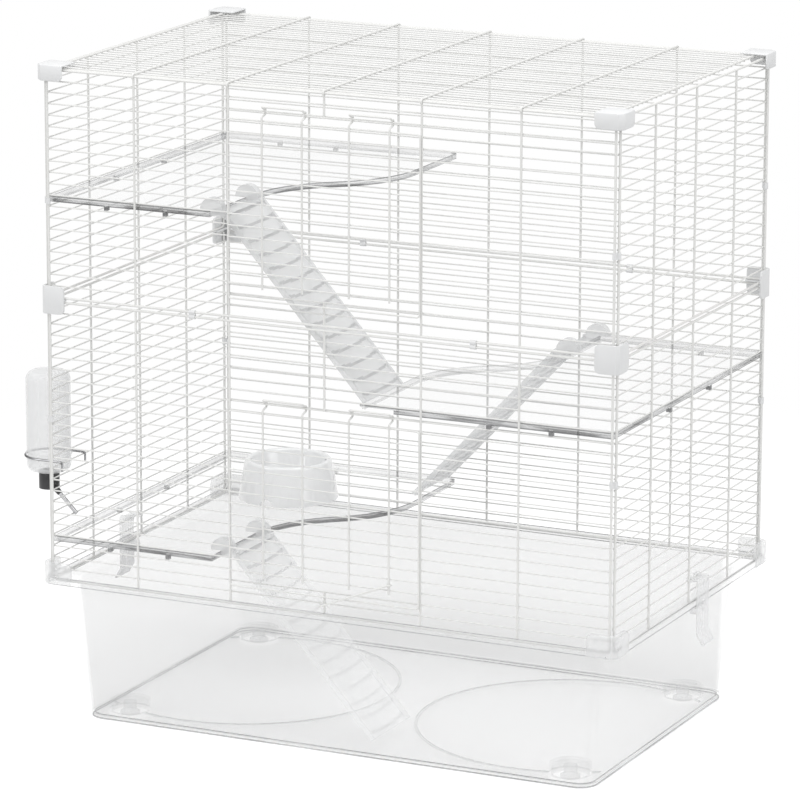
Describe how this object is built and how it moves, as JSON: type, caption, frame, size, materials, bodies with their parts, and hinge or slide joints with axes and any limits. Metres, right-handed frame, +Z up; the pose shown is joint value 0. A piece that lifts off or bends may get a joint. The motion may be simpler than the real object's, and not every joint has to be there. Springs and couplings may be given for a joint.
{
  "type": "multi-level rodent cage",
  "caption": "Tall wire rodent cage on a deep clear tub, with clear platforms joined by ramps, top-hung doors, a hanging water bottle and a food bowl.",
  "frame": {"origin": "middle of the tub's flat underside", "axes": "+Z up, +X along the width to the right seen from the doors, -Y towards the door side"},
  "size_m": [0.6462, 0.3808, 0.6387],
  "materials": {
    "white_wire": "gloss powder coat",
    "clear_plastic": "clear",
    "frosted_plastic": "frosted",
    "white_plastic": "satin",
    "bottle_plastic": "frosted",
    "black_plastic": "satin",
    "steel_tube": "bright",
    "bare_wire": "bright",
    "bowl_plastic": "satin"
  },
  "bodies": {
    "cage": {"base_tub": "clear_plastic", "foot_pegs": "clear_plastic", "roof_panel": "white_wire", "upper_platform": "clear_plastic", "mid_platform": "clear_plastic", "lower_platform": "clear_plastic", "water_bottle": "bottle_plastic", "bottle_cap": "black_plastic", "bottle_spout": "steel_tube", "bottle_holder": "bare_wire", "food_bowl": "bowl_plastic", "post_clips": "white_plastic", "seam_clips": "white_plastic", "lower_front_wall": "white_wire", "lower_right_wall": "white_wire", "lower_back_wall": "white_wire", "lower_left_wall": "white_wire", "upper_front_wall": "white_wire", "upper_right_wall": "white_wire", "upper_back_wall": "white_wire", "upper_left_wall": "white_wire", "top_cap_front_right": "white_plastic", "seam_connector_front_right": "white_plastic", "base_bracket_front_right": "clear_plastic", "top_cap_front_left": "white_plastic", "seam_connector_front_left": "white_plastic", "base_bracket_front_left": "clear_plastic", "top_cap_back_left": "white_plastic", "seam_connector_back_left": "white_plastic", "base_bracket_back_left": "clear_plastic", "top_cap_back_right": "white_plastic", "seam_connector_back_right": "white_plastic", "base_bracket_back_right": "clear_plastic"},
    "lower_door": {"lower_door": "white_wire"},
    "upper_door": {"upper_door": "white_wire"},
    "lower_door_latch": {"lower_door_latch": "white_wire"},
    "upper_ramp": {"upper_ramp": "frosted_plastic"},
    "mid_ramp": {"mid_ramp": "frosted_plastic"},
    "lower_ramp": {"lower_ramp": "frosted_plastic"},
    "base_clip_right": {"base_clip_right": "clear_plastic"},
    "base_clip_left": {"base_clip_left": "clear_plastic"}
  },
  "joints": [
    {"name": "upper_door_swing", "type": "hinge", "parent": "cage", "child": "upper_door", "pos_m": [0, -0.1824, 0.6116], "axis": [-1, 0, 0], "range_deg": [0, 110]},
    {"name": "lower_door_swing", "type": "hinge", "parent": "cage", "child": "lower_door", "pos_m": [0, -0.1824, 0.33496], "axis": [-1, 0, 0], "range_deg": [0, 110]},
    {"name": "lower_latch_swing", "type": "hinge", "parent": "lower_door", "child": "lower_door_latch", "pos_m": [0.068, -0.18755, 0.1772], "axis": [0, 0, 1], "range_deg": [0, 150]},
    {"name": "upper_ramp_lift", "type": "hinge", "parent": "cage", "child": "upper_ramp", "pos_m": [-0.13, -0.1407, 0.5133], "axis": [0, -1, 0], "range_deg": [0, 35]},
    {"name": "mid_ramp_lift", "type": "hinge", "parent": "cage", "child": "mid_ramp", "pos_m": [0.1335, 0.1407, 0.34546], "axis": [0, 1, 0], "range_deg": [0, 35]},
    {"name": "lower_ramp_lift", "type": "hinge", "parent": "cage", "child": "lower_ramp", "pos_m": [-0.13, -0.123, 0.18226], "axis": [0, -1, 0], "range_deg": [0, 35]},
    {"name": "right_clip_swing", "type": "hinge", "parent": "cage", "child": "base_clip_right", "pos_m": [0.2904, 0.016, 0.16088], "axis": [0, -1, 0], "range_deg": [0, 75]},
    {"name": "left_clip_swing", "type": "hinge", "parent": "cage", "child": "base_clip_left", "pos_m": [-0.2904, -0.016, 0.16088], "axis": [0, 1, 0], "range_deg": [0, 75]}
  ]
}
